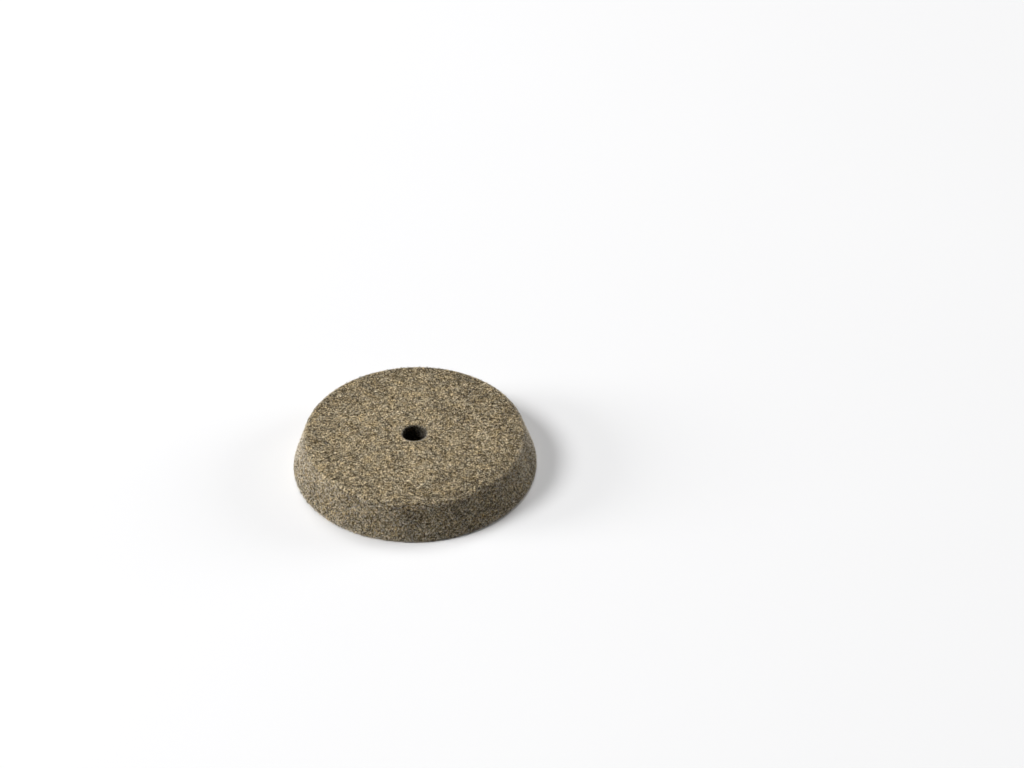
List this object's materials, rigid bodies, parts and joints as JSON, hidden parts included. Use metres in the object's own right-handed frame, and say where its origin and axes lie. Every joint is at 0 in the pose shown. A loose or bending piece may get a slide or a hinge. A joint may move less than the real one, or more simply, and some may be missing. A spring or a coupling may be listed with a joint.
{
  "type": "felt polishing wheel",
  "caption": "Thick disc of hard pressed felt with a tapered rim and a plain centre bore, for polishing stone on a spindle.",
  "frame": {"origin": "centre of the wide face that the wheel lies on, on the bore's axis", "axes": "+Z along the bore's axis, from the wide face to the narrow face; X and Y are free, because the wheel is round"},
  "size_m": [0.15, 0.15, 0.024],
  "materials": {
    "felt": "grey-brown mottled hard pressed wool and hair felt, matt, with short raised fibres"
  },
  "bodies": {
    "root": {"felt_wheel": "felt"}
  },
  "joints": []
}
